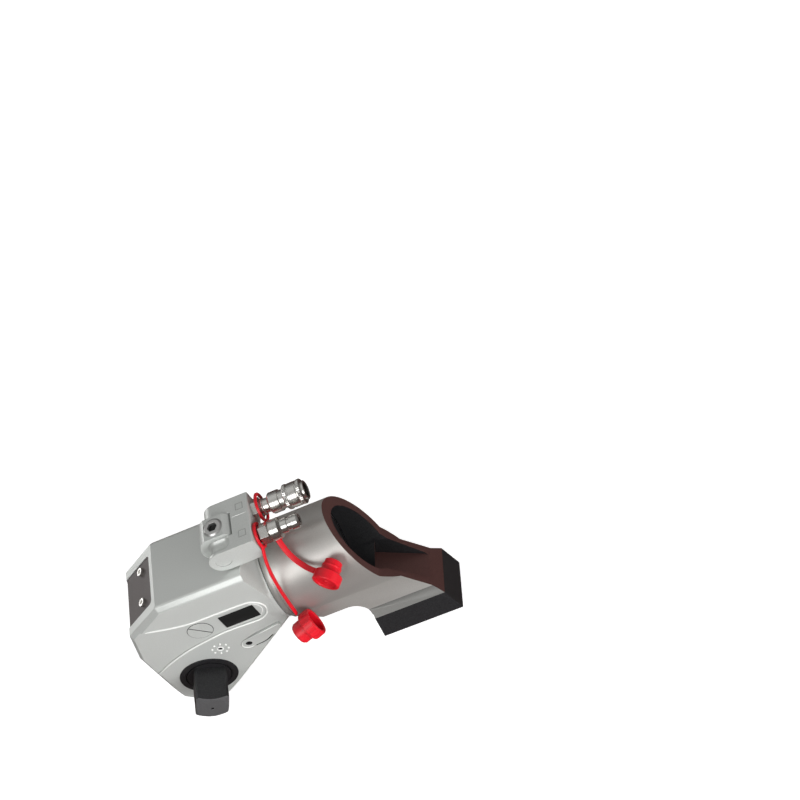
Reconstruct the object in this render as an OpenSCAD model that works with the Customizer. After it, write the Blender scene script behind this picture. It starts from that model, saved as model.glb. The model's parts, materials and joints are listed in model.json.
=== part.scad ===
// Square-drive hydraulic torque wrench with a splined reaction arm and a twin swivel manifold.
// X runs along the cylinder towards the reaction arm, the square drive points to -Y, Z is up.
// The origin is on the drive axis, halfway across the head.

/* [Housing] */
// Width across the two side faces of the head
body_w = 100; // [96:1:110]
// Height of the flat top face above the drive axis
body_top = 150; // [146:1:158]
// Radius of the round nose under the drive
nose_r = 47; // [46:0.5:50]
// Distance from the drive axis to the joint face of the reaction arm
body_len = 131; // [130:0.5:136]
// Chamfer along the edges of the head
edge_chamfer = 6; // [4:0.5:10]
// Slope of the lower back of the head, in degrees
heel_angle = 38.5; // [36:0.5:40]
// Depth of the recessed band on the drive side
band_depth = 1.5; // [0.8:0.1:2.5]

/* [Drive] */
// Across flats of the square drive
square_af = 38.1; // [36:0.1:39]
// Length of the square drive beyond the side face
square_len = 45.5; // [35:0.5:60]
// Turn of the square at rest, in degrees
square_turn = 29; // [0:0.5:90]
// Outer radius of the drive bushings
bushing_r = 34.5; // [33:0.5:36]
// Radius of the ratchet wheel's journals
journal_r = 27; // [26:0.25:28]
// Radius over the ratchet teeth
ratchet_r = 36; // [35.5:0.25:36.5]
// Depth of a ratchet tooth
tooth_depth = 3; // [2:0.25:3.5]
// Number of ratchet teeth
tooth_count = 36; // [30:1:40]

/* [Cylinder] */
// Height of the cylinder axis above the drive axis
axis_z = 75; // [74:0.5:77]
// Outer radius of the barrel under the splines
barrel_r = 47; // [46:0.5:48]
// Wall of the barrel under the splines
barrel_wall = 9; // [8:0.5:10]
// Height of a spline tooth
spline_h = 2.5; // [2:0.25:3]
// Number of spline teeth
spline_count = 24; // [16:4:32]
// Length of the splined barrel beyond the joint face
spline_len = 74; // [71:1:83]
// Radius of the piston rod
rod_r = 14; // [12:0.5:16]
// Piston stroke
stroke = 26.2; // [22:0.1:26.4]
// Thickness of the piston
piston_t = 24; // [20:1:26]

/* [Swivel] */
// Distance of the swivel post from the joint face
post_back = 23; // [21:0.5:25]
// Height of the swivel pivot above the top face
pivot_h = 18; // [18:0.5:22]
// Radius of the clevis lobes
lobe_r = 16; // [15:0.5:17]
// Width of the clevis
clevis_w = 68; // [66:1:76]
// Width of the swivel post between the lobes
post_w = 29; // [27:0.5:31]
// Front face of the clevis, measured from the pivot
port_face = 43; // [41:0.5:47]
// Half the distance between the two ports
port_y = 18; // [17.5:0.25:20]

/* [Reaction arm] */
// Turn of the arm about the cylinder, in degrees
arm_turn = 22.5; // [15:7.5:30]
// Wall of the arm's ring over the barrel
ring_wall = 10; // [9:0.5:12]
// Distance of the foot from the end of the barrel
foot_back = 14; // [8:1:20]
// Reach of the foot below the cylinder axis
foot_reach = 106; // [100:1:112]
// Thickness of the reaction pad
pad_t = 27; // [20:1:30]
// Width of the reaction pad
pad_w = 90; // [84:1:96]
// Distance of the bend in the arm's end face from the near edge of the foot
knee_run = 30.5; // [27:0.5:37]
// Slope of the end face above the bend, in degrees
end_slope = 22.5; // [20:0.5:26]
// Length of the beak beyond the bend
beak_run = 55.5; // [48:0.5:60]

/* [Couplers] */
// Outer radius of the female coupler's body
coupler_r = 12.5; // [11.5:0.25:13.5]
// Outer radius of the sliding sleeve
sleeve_r = 14.2; // [14:0.1:14.8]
// Travel of the sliding sleeve
sleeve_travel = 5; // [3:0.5:6]
// Outer radius of a dust cap
cap_r = 12; // [11:0.25:13]

/* [Hidden] */
$fn = 64;
fit = 0.05;
gap = 0.5;
eps = 0.01;
big = 400;

// Paint, steel and rubber colours
silver_paint = [0.66, 0.67, 0.65];
satin_plate = [0.72, 0.72, 0.70];
black_oxide = [0.10, 0.10, 0.11];
bare_steel = [0.60, 0.60, 0.62];
nickel = [0.78, 0.78, 0.80];
seal_black = [0.05, 0.05, 0.05];
cap_red = [0.80, 0.04, 0.06];

// Head outline
side_y = body_w / 2;
nose_x = -4;
front_x = nose_x - nose_r;
top_front_x = 12;
brow_x = -38;
brow_z = body_top - 32;
cheek_z = brow_z - 46;
heel_run = [cos(heel_angle), sin(heel_angle)];
heel_start = [nose_x + nose_r * heel_run[1], -nose_r * heel_run[0]];
heel_end_z = heel_start[1] + (body_len - heel_start[0]) * tan(heel_angle);
brow_slope = atan2(body_top - brow_z, top_front_x - brow_x);
cheek_slope = atan2(brow_z - cheek_z, brow_x - front_x);
ring_r = barrel_r + ring_wall;
collar_r = ring_r - 3;
shoulder_len = 10;
collar_len = 4;
flare_len = 24;

// Mechanism sizes
cavity_y = 22;
cavity_r = ratchet_r + 3.5;
lever_x = 68;
lever_z = 31;
plate_in = 13;
plate_t = 8;
plate_r = 37;
hub_end = side_y - 5;
swing = 20;
pin_r = 7;
pin_x = axis_z * sin(swing / 2);
pin_z = axis_z * cos(swing / 2);
eye_r = 13.5;
eye_half_w = plate_in - gap;
wheel_half_w = plate_in - gap;
spline_core_r = 21;
collar_drive_r = journal_r - 1;
square_corner_r = collar_drive_r - 1;
square_end_r = square_af / 2 - 2;
square_lead = 1.9;
retainer_screw_x = hub_end - 18;
retainer_screw_r = 4;
retainer_head_r = 8;

// Cylinder sizes
bore_r = barrel_r - barrel_wall;
seat_x = body_len - 41;
gland_x0 = seat_x + 8;
gland_len = 20;
bore_x0 = gland_x0 + gland_len;
cap_len = 16;
cap_flange = 3;
spline_gap = 0.4;
barrel_end = body_len + spline_len;
bore_x1 = barrel_end - cap_len;
piston_x = bore_x0 + stroke + 6;
rod_seal_x = gland_x0 + 6;
rod_seal_w = 5;
rod_seal_t = 3;
cap_seal_x = bore_x1 + 4;
cap_seal_w = 4;
cap_seal_t = 3;
piston_seal_w = 6;
piston_seal_t = 4;
piston_seal_x = piston_x + (piston_t - piston_seal_w) / 2;
rod_tail_r = 9;
rod_nut_t = 7;
rod_nut_r = 15;
ring_x = body_len + 1.2;

// Swivel sizes
post_x = body_len - post_back;
pivot_z = body_top + pivot_h;
block_x = post_x + port_face;
post_r = 23.4;
slot_r = post_r + 2.4;
post_rise = 20.5;
bolt_r = 8;
bolt_head_r = 11.5;
bolt_head_len = 8;
bolt_bevel = 2;
bolt_hex_r = 6;
bolt_top = pivot_z + post_rise + 1.5;
bolt_seat = bolt_top - bolt_head_len;
bolt_grip = body_top - axis_z - barrel_r - 6;
scoop_r = 9;
scoop_ring_r = lobe_r + 4;
scoop_y = clevis_w / 2 - 11.5;
scoop_run = 8;
pin_swivel_r = 9;
trunnion_r = 5.5;
clevis_slot_y = post_w / 2 + gap;
thread_r = 8.5;

// Coupler stations along X
nut_len = 9;
nut_r = 12.5;
hex_near_len = 15;
hex_near_r = 12;
nipple_in = 12;
nipple_out = 8;
nipple_bore_r = 3;
female_x = block_x + 20;
female_len = 44;
sleeve_x = female_x + 19;
sleeve_len = 22;
male_len = 34;

// Round bars along the Y and X axes
module y_bar(x, z, y0, y1, r, sides = 64) {
    translate([x, y0, z]) rotate([-90, 0, 0]) cylinder(h = y1 - y0, r = r, $fn = sides);
}
module x_bar(y, z, x0, x1, r, sides = 64) {
    translate([x0, y, z]) rotate([0, 90, 0]) cylinder(h = x1 - x0, r = r, $fn = sides);
}
module x_cone(y, z, x0, x1, ra, rb) {
    translate([x0, y, z]) rotate([0, 90, 0]) cylinder(h = x1 - x0, r1 = ra, r2 = rb);
}
module x_ring(y, z, x0, x1, outer, inner) {
    difference() {
        x_bar(y, z, x0, x1, outer);
        x_bar(y, z, x0 - 1, x1 + 1, inner);
    }
}
// A side outline drawn in X and Z, given its width across Y
module across(y0, y1) {
    translate([0, y1, 0]) rotate([90, 0, 0]) linear_extrude(y1 - y0) children();
}
// A cross-section drawn in Y and Z, carried along X
module along(x0, x1) {
    translate([x0, 0, 0]) rotate([90, 0, 90]) linear_extrude(x1 - x0) children();
}

// Outline of the head seen from the side
module head_outline() {
    translate([nose_x, 0]) circle(r = nose_r, $fn = 96);
    polygon([
        [top_front_x, body_top], [body_len, body_top], [body_len, heel_end_z], heel_start,
        [nose_x, 0], [front_x, 0], [front_x, cheek_z], [brow_x, brow_z]
    ]);
}
// A slab as wide as the head with chamfered edges, its outer face through a point at a slope
module flat_slab(point, slope) {
    translate([point[0], 0, point[1]]) rotate([0, -slope, 0]) along(-big, big) polygon([
        [-side_y, -big], [-side_y, -edge_chamfer], [-side_y + edge_chamfer, 0], [side_y - edge_chamfer, 0],
        [side_y, -edge_chamfer], [side_y, -big]
    ]);
}
// The same chamfer round the rim of the nose, from the front to the heel
module nose_chamfers() {
    for (s = [0, 1]) mirror([0, s, 0]) intersection() {
        translate([nose_x, side_y - edge_chamfer, 0]) rotate([-90, 0, 0]) difference() {
            cylinder(h = edge_chamfer + 1, r = nose_r + 5);
            cylinder(h = edge_chamfer + 1, r1 = nose_r, r2 = nose_r - edge_chamfer - 1);
        }
        across(0, big) polygon([
            [nose_x, 0], [-big, 0], [-big, -big], [nose_x + big * heel_run[1], -big * heel_run[0]]
        ]);
    }
}
// The shoulder that turns the square head into the round collar
module shoulder() {
    x0 = body_len - collar_len - shoulder_len;
    x_bar(0, axis_z, -big, x0 + eps, 2 * body_top);
    x_cone(0, axis_z, x0, x0 + shoulder_len, collar_r + 3.4 * shoulder_len, collar_r);
}

// The band that holds the data plate, open at the nose and round at the back
band_r = 19.2;
band_end = [body_len - 34, axis_z + 11.3];
band_upper = [[-60, 46.7], [-16, 33.7], [12, 24.7], [32, 20.7]];
band_lower = [[59, -17.8], [32, -21.3], [5, -26.8], [-26, -38.3], [-60, -57.3]];
module band_outline() {
    level = [0, band_end[1]];
    polygon(concat(
        [for (p = band_upper) p + level], [band_end + [0, band_r], band_end - [0, band_r]],
        [for (p = band_lower) p + level]
    ));
    translate(band_end) circle(r = band_r);
}
// Release lever, and the pocket that leaves it room to swing
lever_r = 9;
lever_len = 46;
module lever_arm(y0, y1) {
    y_bar(lever_x, lever_z, y0, y1, lever_r);
    across(y0, y1) translate([lever_x, lever_z])
        polygon([[-1, lever_r], [lever_len, 17], [lever_len, 8], [20, -7], [1, -lever_r]]);
}
module lever_pocket(y0, y1) {
    y_bar(lever_x, lever_z, y0, y1, lever_r + gap);
    across(y0, y1) translate([lever_x, lever_z]) polygon([
        [-3, lever_r + gap], [lever_len - 3, 26], [lever_len + 3, 26], [lever_len + 3, 7], [20, -7 - gap],
        [1, -lever_r - gap]
    ]);
}
module cavity_outline() {
    circle(r = cavity_r);
    polygon([
        [-cavity_r, 0], [-36, axis_z + 17], [seat_x + eps, axis_z + 17], [seat_x + eps, axis_z - 17],
        [cavity_r + 8, 50], [cavity_r, 0]
    ]);
    polygon([[0, -14], [28, -28], [lever_x + 6, lever_z - 14], [lever_x + 12, lever_z + 12], [40, 56]]);
    translate([lever_x, lever_z]) circle(r = 14);
}
// Frame of the sloping brow: x runs up the slope from its lower edge, z stands out of it
module on_brow() {
    translate([brow_x, 0, brow_z]) rotate([0, -brow_slope, 0]) children();
}
cover_up = 53;
cover_down = 43.8;
cover_w = 66;
cover_t = 3;
cover_gap = 1;
cover_corner = 5;
cover_screw_up = 34.7;
cover_screw_y = 21;
cover_screw_r = 3;
cover_screw_len = 11;
cover_screw_head_r = 4.8;

// Side view of the bent strip between two depths under the brow and the cheek below it
module cover_strip(d0, d1) {
    brow = [brow_x, brow_z];
    brow_out = [-sin(brow_slope), cos(brow_slope)];
    cheek_out = [-sin(cheek_slope), cos(cheek_slope)];
    bend = (brow_out + cheek_out) / (1 + brow_out * cheek_out);
    top = brow + cover_up * [cos(brow_slope), sin(brow_slope)];
    foot = brow - cover_down * [cos(cheek_slope), sin(cheek_slope)];
    polygon([
        top - d0 * brow_out, brow - d0 * bend, foot - d0 * cheek_out,
        foot - d1 * cheek_out, brow - d1 * bend, top - d1 * brow_out
    ]);
}
module cover_shape(d0, d1) {
    half = cover_w / 2;
    intersection() {
        across(-half, half) cover_strip(d0, d1);
        on_brow() translate([0, 0, -big]) linear_extrude(2 * big) {
            translate([-big, -half]) square([big + cover_up - cover_corner, cover_w]);
            translate([-big, cover_corner - half]) square([big + cover_up, cover_w - 2 * cover_corner]);
            for (s = [-1, 1])
                translate([cover_up - cover_corner, s * (half - cover_corner)]) circle(r = cover_corner);
        }
    }
}
module cover_screw_holes() {
    for (s = [-1, 1]) on_brow()
        translate([cover_screw_up, s * cover_screw_y, -cover_screw_len - 1])
            cylinder(h = cover_screw_len + 20, r = cover_screw_r);
}
plug_x = 34;
plug_z = 86;
plug_r = 14.5;
index_x = 36;
index_z = 41;

module housing() {
    color(silver_paint) difference() {
        union() {
            intersection() {
                across(-side_y, side_y) head_outline();
                flat_slab([0, body_top], 0);
                flat_slab([brow_x, brow_z], brow_slope);
                flat_slab([front_x, cheek_z], cheek_slope);
                flat_slab([front_x, 0], 90);
                flat_slab(heel_start, heel_angle + 180);
                shoulder();
            }
            x_cone(0, axis_z, body_len - flare_len, body_len - collar_len, side_y - 1, collar_r);
            x_bar(0, axis_z, body_len - collar_len - eps, body_len, collar_r);
        }
        nose_chamfers();
        across(-side_y - 1, -side_y + band_depth) band_outline();
        lever_pocket(-side_y - 1, -side_y + 2.5);
        across(-cavity_y, cavity_y) cavity_outline();
        y_bar(0, 0, -side_y - 1, side_y + 1, bushing_r);
        x_bar(0, axis_z, seat_x, body_len + 1, barrel_r);
        y_bar(lever_x, lever_z, -side_y - 1, cavity_y + 8, 4 + fit);
        y_bar(plug_x, plug_z, -side_y - 1, -side_y + 10, plug_r);
        y_bar(index_x, index_z, -side_y - 1, -side_y + 12, 3);
        translate([post_x, 0, body_top - bolt_grip - 2]) cylinder(h = big, r = bolt_r);
        cover_shape(-20, cover_t);
        cover_screw_holes();
    }
}

module bushing(y0, y1) {
    color(black_oxide) difference() {
        y_bar(0, 0, y0, y1, bushing_r);
        y_bar(0, 0, y0 - 1, y1 + 1, journal_r + fit);
    }
}
module drive_bushing_near() {
    bushing(-side_y - 1, -cavity_y);
}
module drive_bushing_far() {
    bushing(cavity_y, side_y);
}
module front_cover() {
    color(bare_steel) difference() {
        cover_shape(cover_gap, cover_t);
        cover_screw_holes();
    }
}
module cover_screws() {
    color(nickel) for (s = [-1, 1]) on_brow() translate([cover_screw_up, s * cover_screw_y, 0]) difference() {
        union() {
            translate([0, 0, -cover_screw_len]) cylinder(h = cover_screw_len, r = cover_screw_r);
            translate([0, 0, -cover_gap]) cylinder(h = 3.5, r = cover_screw_head_r);
        }
        translate([0, 0, 0.5]) cylinder(h = 3, r = 2.6, $fn = 6);
    }
}
module access_plug() {
    color(silver_paint) difference() {
        y_bar(plug_x, plug_z, -side_y + band_depth - 0.4, -side_y + 10, plug_r);
        translate([plug_x, -side_y, plug_z]) rotate([0, 50, 0]) cube([2 * plug_r + 2, 6, 1.6], center = true);
    }
}
module index_screw() {
    color(bare_steel) difference() {
        y_bar(index_x, index_z, -side_y + 1, -side_y + 12, 3);
        y_bar(index_x, index_z, -side_y, -side_y + 4, 1.6, 6);
    }
}

// Toothed ring of the reaction splines
module spline_outline(r, grow) {
    circle(r = r + grow, $fn = 96);
    for (i = [0 : spline_count - 1]) rotate(i * 360 / spline_count) polygon([
        [r - 2, -3 - grow], [r + spline_h + grow, -1.8 - grow], [r + spline_h + grow, 1.8 + grow],
        [r - 2, 3 + grow]
    ]);
}
module spline_bar(x0, x1, grow) {
    translate([x0, 0, axis_z]) rotate([0, 90, 0]) linear_extrude(x1 - x0) spline_outline(barrel_r, grow);
}
module cylinder_barrel() {
    color(bare_steel) difference() {
        union() {
            x_bar(0, axis_z, seat_x, barrel_end, barrel_r);
            spline_bar(body_len + 0.6, barrel_end - 3, 0);
        }
        x_bar(0, axis_z, gland_x0, barrel_end + 1, bore_r);
        x_bar(0, axis_z, seat_x - 1, gland_x0 + 1, rod_r + 6);
    }
}
module rod_gland() {
    color("darkgoldenrod") difference() {
        x_bar(0, axis_z, gland_x0, bore_x0, bore_r);
        x_bar(0, axis_z, gland_x0 - 1, bore_x0 + 1, rod_r + fit);
        x_bar(0, axis_z, rod_seal_x, rod_seal_x + rod_seal_w, rod_r + rod_seal_t);
    }
}
module rod_seal() {
    color(seal_black)
        x_ring(0, axis_z, rod_seal_x, rod_seal_x + rod_seal_w, rod_r + rod_seal_t, rod_r + fit);
}
module end_cap() {
    color(black_oxide) difference() {
        union() {
            x_bar(0, axis_z, bore_x1, barrel_end, bore_r);
            x_bar(0, axis_z, barrel_end, barrel_end + cap_flange, barrel_r - 2);
        }
        x_bar(0, axis_z, barrel_end - 6, barrel_end + 4, 11, 6);
        x_ring(0, axis_z, cap_seal_x, cap_seal_x + cap_seal_w, bore_r + 1, bore_r - cap_seal_t);
    }
}
module end_cap_seal() {
    color(seal_black)
        x_ring(0, axis_z, cap_seal_x, cap_seal_x + cap_seal_w, bore_r, bore_r - cap_seal_t);
}
module post_bolt() {
    shank_r = bolt_r - fit;
    head_r = bolt_head_r - fit;
    color(bare_steel) translate([post_x, 0, 0]) difference() {
        union() {
            translate([0, 0, body_top - bolt_grip])
                cylinder(h = bolt_seat - body_top + bolt_grip + eps, r = shank_r);
            translate([0, 0, bolt_seat]) cylinder(h = bolt_head_len - bolt_bevel, r = head_r);
            translate([0, 0, bolt_top - bolt_bevel])
                cylinder(h = bolt_bevel, r1 = head_r, r2 = head_r - bolt_bevel);
        }
        translate([0, 0, bolt_top - 6]) cylinder(h = big, r = bolt_hex_r, $fn = 6);
    }
}

// Saw-tooth outline of the ratchet
module ratchet_outline(grow) {
    step = 360 / tooth_count;
    polygon([
        for (i = [0 : tooth_count - 1], k = [0, 1])
            let (a = (i + 0.82 * k) * step, r = k == 0 ? ratchet_r - tooth_depth + grow : ratchet_r + grow)
                [r * cos(a), r * sin(a)]
    ]);
}
module ratchet_wheel() {
    color(bare_steel) difference() {
        union() {
            across(-wheel_half_w, wheel_half_w) ratchet_outline(0);
            y_bar(0, 0, -hub_end, hub_end, journal_r);
        }
        y_bar(0, 0, -big, big, spline_core_r);
    }
}
module square_drive() {
    half = square_af / 2;
    end_y = -side_y - square_len;
    color(black_oxide) difference() {
        union() {
            y_bar(0, 0, -hub_end - 1, hub_end - 3, spline_core_r);
            y_bar(0, 0, -side_y - 1.5, -hub_end, collar_drive_r);
            intersection() {
                rotate([0, square_turn, 0]) translate([-half, end_y, -half])
                    cube([square_af, square_len, square_af]);
                y_bar(0, 0, end_y, -side_y, square_corner_r);
                translate([0, end_y, 0]) rotate([-90, 0, 0])
                    cylinder(h = square_len, r1 = square_end_r, r2 = square_end_r + square_lead * square_len);
            }
        }
        y_bar(0, 0, end_y - 1, end_y + 2, 1.8);
        y_bar(0, 0, retainer_screw_x, big, retainer_screw_r);
    }
}
module drive_retainer() {
    color(bare_steel) difference() {
        union() {
            y_bar(0, 0, hub_end - 3, side_y - 1, spline_core_r - fit);
            y_bar(0, 0, hub_end, side_y + 1.5, journal_r - 1);
        }
        y_bar(0, 0, hub_end - 4, side_y + 2, retainer_screw_r);
        y_bar(0, 0, side_y - 3, side_y + 2, retainer_head_r);
    }
}
module retainer_screw() {
    color(black_oxide) difference() {
        union() {
            y_bar(0, 0, retainer_screw_x, side_y - 3, retainer_screw_r);
            y_bar(0, 0, side_y - 3, side_y + 1, retainer_head_r);
        }
        y_bar(0, 0, side_y - 2, side_y + 2, 3.5, 6);
    }
}

// The rocker that the piston rod swings: two plates, the rod pin and the pawl between them
module rocked() {
    rotate([0, swing / 2, 0]) children();
}
lobe_plate_r = 13;
module drive_plate(y0) {
    y1 = y0 + plate_t;
    color(bare_steel) difference() {
        rocked() union() {
            y_bar(0, 0, y0, y1, plate_r);
            across(y0, y1)
                polygon([[-plate_r, 0], [-lobe_plate_r, axis_z], [lobe_plate_r, axis_z], [plate_r, 0]]);
            y_bar(0, axis_z, y0, y1, lobe_plate_r);
        }
        y_bar(0, 0, y0 - 1, y0 + plate_t + 1, journal_r + fit);
        y_bar(pin_x, pin_z, y0 - 1, y0 + plate_t + 1, pin_r);
    }
}
module drive_plate_near() {
    drive_plate(-plate_in - plate_t);
}
module drive_plate_far() {
    drive_plate(plate_in);
}
module rod_pin() {
    color(bare_steel) y_bar(pin_x, pin_z, -plate_in - plate_t, plate_in + plate_t, pin_r);
}
module drive_pawl() {
    spread = 20;
    pawl_r = axis_z - eye_r - 3.5;
    color(black_oxide) difference() {
        rocked() across(-plate_in, plate_in) intersection() {
            polygon([[0, 0], [-pawl_r * tan(spread), pawl_r], [pawl_r * tan(spread), pawl_r]]);
            translate([-pawl_r, 0]) square([2 * pawl_r, pawl_r]);
        }
        for (turn = [-0.5, 0.5]) rotate([0, turn, 0]) across(-big, big) ratchet_outline(0.4);
    }
}

module piston() {
    color(bare_steel) difference() {
        x_bar(0, axis_z, piston_x, piston_x + piston_t, bore_r - fit);
        x_bar(0, axis_z, piston_x - 1, piston_x + piston_t + 1, rod_tail_r);
        x_ring(0, axis_z, piston_seal_x, piston_seal_x + piston_seal_w, bore_r + 1, bore_r - piston_seal_t);
    }
}
module piston_seal() {
    color(seal_black)
        x_ring(0, axis_z, piston_seal_x, piston_seal_x + piston_seal_w, bore_r - fit, bore_r - piston_seal_t);
}
module piston_rod() {
    color(bare_steel) difference() {
        union() {
            x_bar(0, axis_z, pin_x + 8, piston_x, rod_r);
            x_bar(0, axis_z, piston_x - eps, piston_x + piston_t + rod_nut_t + 1, rod_tail_r);
            intersection() {
                y_bar(pin_x, axis_z, -eye_half_w, eye_half_w, eye_r);
                x_bar(0, axis_z, -big, big, rod_r + 4);
            }
        }
        for (z = [pin_z - 0.3, axis_z + 0.3]) y_bar(pin_x, z, -big, big, pin_r + gap);
        translate([pin_x - pin_r - gap, -big / 2, pin_z - 0.3])
            cube([2 * (pin_r + gap), big, axis_z - pin_z + 0.6]);
        translate([pin_x - big, eye_half_w, axis_z - big / 2]) cube([big + eye_r + 4, big, big]);
        translate([pin_x - big, -eye_half_w - big, axis_z - big / 2]) cube([big + eye_r + 4, big, big]);
    }
}
module rod_nut() {
    color(bare_steel) difference() {
        x_bar(0, axis_z, piston_x + piston_t, piston_x + piston_t + rod_nut_t, rod_nut_r, 6);
        x_bar(0, axis_z, piston_x + piston_t - 1, piston_x + piston_t + rod_nut_t + 1, rod_tail_r);
    }
}

// Lever on the side that lifts the holding pawl off the ratchet
module release_lever() {
    color(silver_paint) difference() {
        lever_arm(-side_y, -side_y + 2);
        y_bar(lever_x, lever_z, -side_y - 1, -side_y + 3, 4);
    }
}
module lever_shaft() {
    color(black_oxide) difference() {
        y_bar(lever_x, lever_z, -side_y + 0.5, cavity_y + 8, 4);
        y_bar(lever_x, lever_z, -side_y, -side_y + 4, 2, 6);
    }
}
module holding_pawl() {
    toe = (ratchet_r + 0.8) * [cos(28), sin(28)];
    color(black_oxide) difference() {
        union() {
            y_bar(lever_x, lever_z, -wheel_half_w, wheel_half_w, lever_r);
            across(-wheel_half_w, wheel_half_w)
                polygon([
                    [lever_x, lever_z + lever_r], [lever_x - 1, lever_z - lever_r],
                    toe + [1, -5], toe, toe + [2, 5]
                ]);
        }
        y_bar(lever_x, lever_z, -big, big, 4);
        y_bar(0, 0, -big, big, ratchet_r + 0.8);
    }
}

// Swivel post: turns on the bolt, and carries the clevis on two side pins
module swivel_post() {
    color(silver_paint) difference() {
        union() {
            intersection() {
                y_bar(post_x, pivot_z, -post_w / 2, post_w / 2, post_r);
                translate([post_x - big, -big, body_top]) cube([2 * big, 2 * big, pivot_h + post_rise]);
            }
            translate([post_x, 0, body_top]) cylinder(h = pivot_h, r = post_w / 2);
        }
        translate([post_x, 0, body_top - 1]) cylinder(h = big, r = bolt_r);
        translate([post_x, 0, bolt_seat]) cylinder(h = big, r = bolt_head_r);
        for (s = [-1, 1]) translate([post_x, s * (post_w / 2 + 1), pivot_z]) rotate([s * 90, 0, 0])
            cylinder(h = post_w / 2 - bolt_r - 1 + gap, r = trunnion_r + fit);
    }
}
module block_outline() {
    translate([post_x, pivot_z]) circle(r = lobe_r);
    translate([post_x, pivot_z - lobe_r]) square([port_face - 2, 2 * lobe_r]);
    translate([post_x, pivot_z - lobe_r + 2]) square([port_face, 2 * lobe_r - 4]);
    for (s = [-1, 1]) translate([block_x - 2, pivot_z + s * (lobe_r - 2)]) circle(r = 2);
}
// A groove scooped round the back of the near lobe, running out along its top
module lobe_scoop() {
    translate([post_x, -scoop_y, pivot_z]) {
        intersection() {
            rotate([90, 0, 0]) rotate_extrude() translate([scoop_ring_r, 0]) circle(r = scoop_r);
            translate([-big, -big, -big]) cube([big, 2 * big, 2 * big]);
        }
        translate([0, 0, scoop_ring_r]) rotate([0, 90, 0]) cylinder(h = scoop_run, r = scoop_r);
        translate([scoop_run, 0, scoop_ring_r]) sphere(r = scoop_r);
        translate([0, 0, -scoop_ring_r]) sphere(r = scoop_r);
    }
}
module swivel_block() {
    slot_y = clevis_slot_y;
    color(silver_paint) difference() {
        across(-clevis_w / 2, clevis_w / 2) block_outline();
        y_bar(post_x, pivot_z, -slot_y, slot_y, slot_r);
        translate([post_x - big, -slot_y, pivot_z - big / 2]) cube([big, 2 * slot_y, big]);
        y_bar(post_x, pivot_z, -big, big, pin_swivel_r);
        lobe_scoop();
        for (s = [-1, 1]) x_bar(s * port_y, pivot_z, block_x - nipple_in - 2, block_x + 1, thread_r);
    }
}
module swivel_pins() {
    plug_end = clevis_w / 2 - 0.6;
    color(silver_paint) for (s = [0, 1]) mirror([0, s, 0]) {
        y_bar(post_x, pivot_z, bolt_r + 2, plug_end, trunnion_r);
        y_bar(post_x, pivot_z, clevis_slot_y, plug_end, pin_swivel_r);
    }
}

// Port fittings and couplers
module port_nipple_far() {
    y = port_y;
    color(nickel) difference() {
        union() {
            x_bar(y, pivot_z, block_x - nipple_in, female_x + nipple_out, thread_r);
            x_bar(y, pivot_z, block_x, block_x + nut_len, nut_r, 6);
            x_bar(y, pivot_z, block_x + nut_len + 2, block_x + nut_len + 4, 10);
        }
        x_bar(y, pivot_z, block_x - nipple_in - 1, female_x + nipple_out + 1, nipple_bore_r);
    }
}
module port_nipple_near() {
    y = -port_y;
    color(nickel) difference() {
        union() {
            x_bar(y, pivot_z, block_x - nipple_in, block_x + hex_near_len + nipple_out, thread_r);
            x_bar(y, pivot_z, block_x + 5, block_x + hex_near_len, hex_near_r, 6);
        }
        x_bar(y, pivot_z, block_x - nipple_in - 1, block_x + hex_near_len + nipple_out + 1, nipple_bore_r);
    }
}
module female_coupler() {
    y = port_y;
    x1 = female_x + female_len;
    color(nickel) difference() {
        union() {
            x_cone(y, pivot_z, female_x, female_x + 2, coupler_r - 1.5, coupler_r);
            x_bar(y, pivot_z, female_x + 2, sleeve_x - sleeve_travel - 1, coupler_r);
            x_bar(y, pivot_z, sleeve_x - sleeve_travel - 2, x1, coupler_r - 1.5);
        }
        x_bar(y, pivot_z, female_x - 1, female_x + nipple_out, thread_r);
        x_bar(y, pivot_z, female_x + nipple_out - 1, x1 + 1, 4);
        x_bar(y, pivot_z, x1 - 20, x1 + 1, 8.5);
    }
}
module coupler_sleeve() {
    y = port_y;
    x1 = sleeve_x + sleeve_len;
    groove_r = sleeve_r - 0.8;
    color(nickel) difference() {
        union() {
            x_cone(y, pivot_z, sleeve_x, sleeve_x + 1, sleeve_r - 1, sleeve_r);
            x_bar(y, pivot_z, sleeve_x + 1, x1 - 1, sleeve_r);
            x_cone(y, pivot_z, x1 - 1, x1, sleeve_r, sleeve_r - 1);
        }
        x_bar(y, pivot_z, sleeve_x - 1, x1 + 1, coupler_r - 1.5 + fit);
        for (x = [sleeve_x + 5, x1 - 6]) x_ring(y, pivot_z, x, x + 1.6, sleeve_r + 1, groove_r);
    }
}
module male_coupler() {
    y = -port_y;
    x0 = block_x + hex_near_len + 2;
    x1 = x0 + male_len;
    color(nickel) difference() {
        union() {
            x_bar(y, pivot_z, x0, x0 + 10, 12);
            x_cone(y, pivot_z, x0 + 10, x0 + 13, 12, 8.2);
            x_bar(y, pivot_z, x0 + 13, x1 - 2, 8.2);
            x_cone(y, pivot_z, x1 - 2, x1, 8.2, 6.5);
        }
        x_bar(y, pivot_z, x0 - 1, x0 + 6, thread_r);
        x_bar(y, pivot_z, x0 + 5, x1 + 1, 3.5);
        difference() {
            x_bar(y, pivot_z, x0 + 20, x0 + 24, 12.5);
            x_bar(y, pivot_z, x0 + 19, x0 + 25, 6.8);
        }
    }
}

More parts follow.
